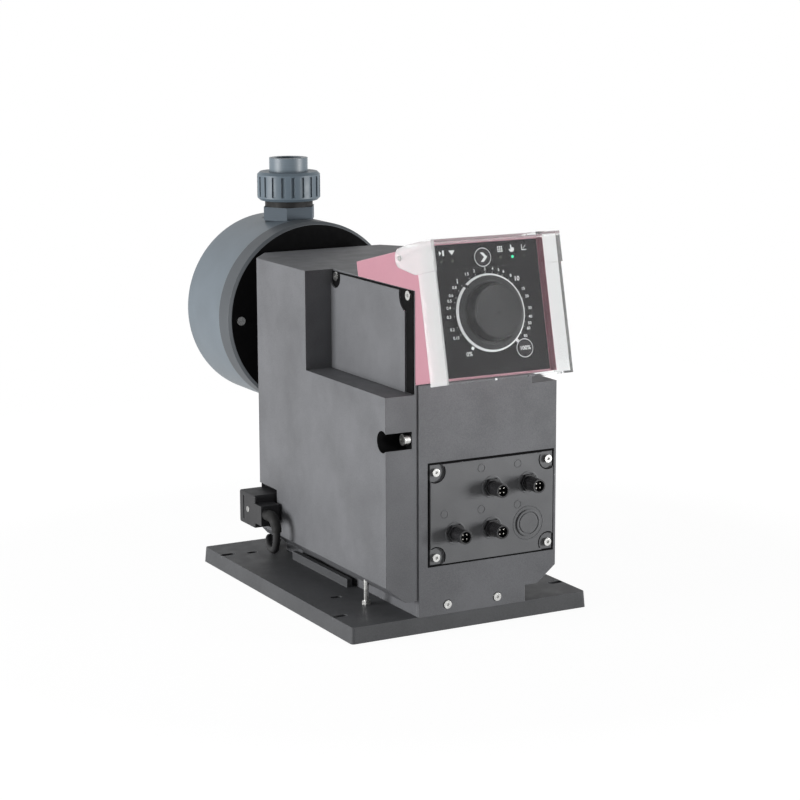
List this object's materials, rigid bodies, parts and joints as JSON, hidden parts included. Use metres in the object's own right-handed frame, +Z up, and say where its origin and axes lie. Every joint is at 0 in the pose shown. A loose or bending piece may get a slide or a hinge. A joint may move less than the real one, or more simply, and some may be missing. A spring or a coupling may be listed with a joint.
{
  "type": "dosing pump",
  "caption": "Diaphragm dosing pump with a tilted control panel under a clear lid, a round dosing head with two ball valves, and a mains lead.",
  "frame": {"origin": "centre of the base plate's underside", "axes": "+Z up, -Y the way the control panel faces, +Y towards the dosing head, -X the side with the mains plug"},
  "size_m": [0.297, 0.4765, 0.371],
  "materials": {
    "dark_plastic": "finely textured dark grey housing plastic",
    "plate_plastic": "finely textured mid grey plastic",
    "black_plastic": "satin black moulded plastic",
    "pink_plastic": "satin pinkish red moulded plastic",
    "panel_film": "smooth black front film",
    "knob_plastic": "smooth black moulded plastic",
    "key_rubber": "soft dark key rubber",
    "light_guide": "milky clear light guide",
    "clear_plastic": "clear polycarbonate with slightly milky edges",
    "black_rubber": "matt black rubber",
    "cord_jacket": "black flexible cord jacket",
    "steel": "plain steel",
    "nickel": "nickel-plated brass",
    "gold": "gold-plated contact",
    "bronze": "sintered bronze",
    "cast_alloy": "cast light alloy",
    "gear_plastic": "natural white gear plastic",
    "motor_paint": "dark painted motor case",
    "board": "green circuit board",
    "pvc": "blue-grey machined plastic",
    "pvc_dark": "blue-grey moulded plastic",
    "ball_ceramic": "white polished ceramic"
  },
  "bodies": {
    "pump": {"base_plate": "dark_plastic", "foundation_screws": "steel", "support_posts": "steel", "housing": "dark_plastic", "front_cover": "dark_plastic", "front_screws": "steel", "side_cover_left": "dark_plastic", "side_cover_right": "dark_plastic", "side_screws": "steel", "connector_plate": "plate_plastic", "seals": "black_rubber", "signal_socket_1": "nickel", "signal_socket_2": "nickel", "signal_socket_3": "nickel", "signal_socket_4": "nickel", "socket_inserts": "black_plastic", "socket_pins": "gold", "blanking_plug": "black_plastic", "main_board": "board", "control_frame": "pink_plastic", "control_panel": "panel_film", "light_guides": "light_guide", "control_board": "board", "lid_rod": "steel", "mains_inlet": "black_plastic", "mains_plug": "black_plastic", "plug_screw": "steel", "strain_relief": "black_rubber", "mains_cord": "cord_jacket", "cord_coil": "cord_jacket", "far_plug": "cord_jacket", "motor": "motor_paint", "drive_frame": "cast_alloy", "crank_bearings": "bronze", "guide_bush": "bronze", "neck": "black_plastic", "rear_flange": "black_plastic", "dosing_head": "pvc", "head_bolts": "steel", "diaphragm": "black_rubber", "discharge_valve": "pvc", "discharge_end": "pvc", "suction_valve": "pvc", "suction_end": "pvc", "valve_cages": "pvc"},
    "lid_body": {"lid": "clear_plastic"},
    "dial": {"dial_knob": "knob_plastic", "dial_shaft": "steel"},
    "mode_button": {"mode_key": "key_rubber"},
    "full_button": {"full_key": "key_rubber"},
    "crank": {"crank_wheel": "gear_plastic", "crankshaft": "steel"},
    "rotor": {"motor_pinion": "steel"},
    "con_rod": {"connecting_rod": "cast_alloy"},
    "plunger": {"push_rod": "steel", "diaphragm_core": "steel"},
    "upper_nut": {"discharge_nut": "pvc_dark"},
    "lower_nut": {"suction_nut": "pvc_dark"},
    "upper_ball": {"discharge_ball": "ball_ceramic"},
    "lower_ball": {"suction_ball": "ball_ceramic"}
  },
  "joints": [
    {"name": "lid_hinge", "type": "hinge", "parent": "pump", "child": "lid_body", "pos_m": [0, -0.13641, 0.31605], "axis": [-1, 0, 0], "range_deg": [0, 110]},
    {"name": "dial_turn", "type": "hinge", "parent": "pump", "child": "dial", "pos_m": [0, -0.17896, 0.2722], "axis": [0, 0.9744, -0.225], "range_deg": [-101.9, 179.5]},
    {"name": "mode_press", "type": "slide", "parent": "pump", "child": "mode_button", "axis": [0, 0.9744, -0.225], "range_m": [0, 0.0006], "stiffness_N_per_m": 800, "springref_m": -0.0006},
    {"name": "full_press", "type": "slide", "parent": "pump", "child": "full_button", "axis": [0, 0.9744, -0.225], "range_m": [0, 0.0006], "stiffness_N_per_m": 800, "springref_m": -0.0006},
    {"name": "crank_spin", "type": "hinge", "parent": "pump", "child": "crank", "pos_m": [0, 0.03, 0.2266], "axis": [1, 0, 0], "continuous": true},
    {"name": "motor_spin", "type": "hinge", "parent": "pump", "child": "rotor", "pos_m": [0, 0.03, 0.1591], "axis": [1, 0, 0], "continuous": true},
    {"name": "rod_pivot", "type": "hinge", "parent": "crank", "child": "con_rod", "pos_m": [0, 0.03, 0.2286], "axis": [1, 0, 0], "continuous": true},
    {"name": "push_slide", "type": "slide", "parent": "pump", "child": "plunger", "axis": [0, 1, 0], "range_m": [-0.002, 0.002]},
    {"name": "upper_nut_turn", "type": "hinge", "parent": "pump", "child": "upper_nut", "pos_m": [0, 0.197, 0.3445], "axis": [0, 0, 1], "continuous": true},
    {"name": "lower_nut_turn", "type": "hinge", "parent": "pump", "child": "lower_nut", "pos_m": [0, 0.197, 0.1087], "axis": [0, 0, -1], "continuous": true},
    {"name": "upper_ball_lift", "type": "slide", "parent": "pump", "child": "upper_ball", "axis": [0, 0, 1], "range_m": [0, 0.0025]},
    {"name": "lower_ball_lift", "type": "slide", "parent": "pump", "child": "lower_ball", "axis": [0, 0, 1], "range_m": [0, 0.0025]}
  ],
  "couplings": [
    {"joint": "motor_spin", "follows": "crank_spin", "ratio": -4},
    {"joint": "rod_pivot", "follows": "crank_spin", "ratio": -1}
  ]
}
